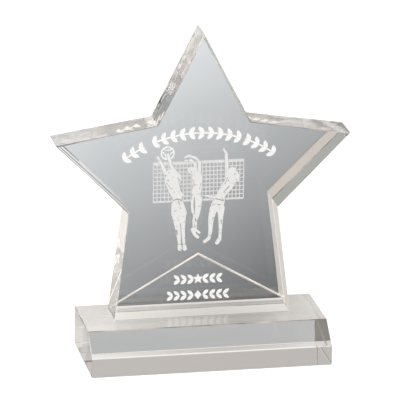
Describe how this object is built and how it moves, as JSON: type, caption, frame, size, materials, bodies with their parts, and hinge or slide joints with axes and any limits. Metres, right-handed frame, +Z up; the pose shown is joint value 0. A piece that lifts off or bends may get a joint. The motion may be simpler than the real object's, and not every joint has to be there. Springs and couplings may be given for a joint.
{
  "type": "star trophy",
  "caption": "Clear acrylic star award with a mirrored, engraved back and a V-grooved foot, cemented to a clear slant-front base.",
  "frame": {"origin": "centre of the base's underside, where the trophy stands", "axes": "+Z up, +Y towards the mirrored back, +X to the right as the trophy is read"},
  "size_m": [0.153, 0.055, 0.171],
  "materials": {
    "clear_acrylic": "cast acrylic, flame-polished faces and edges",
    "clear_cement": "clear solvent cement, invisible once cured",
    "mirror_coat": "vacuum-deposited silver mirror seen through the acrylic",
    "backing_paint": "matt grey protective paint over the mirror coat",
    "engraving_fill": "matt white paint in frosted engraving"
  },
  "bodies": {
    "root": {"base_block": "clear_acrylic", "star_block": "clear_acrylic", "cement_layer": "clear_cement", "mirror_coat_star": "mirror_coat", "mirror_coat_foot": "mirror_coat", "backing_paint_star": "backing_paint", "backing_paint_foot": "backing_paint", "fill_garland": "engraving_fill", "fill_net": "engraving_fill", "fill_ball": "engraving_fill", "fill_player_left": "engraving_fill", "fill_player_middle": "engraving_fill", "fill_player_right": "engraving_fill", "fill_star_row": "engraving_fill", "fill_diamond_row": "engraving_fill"}
  },
  "joints": []
}
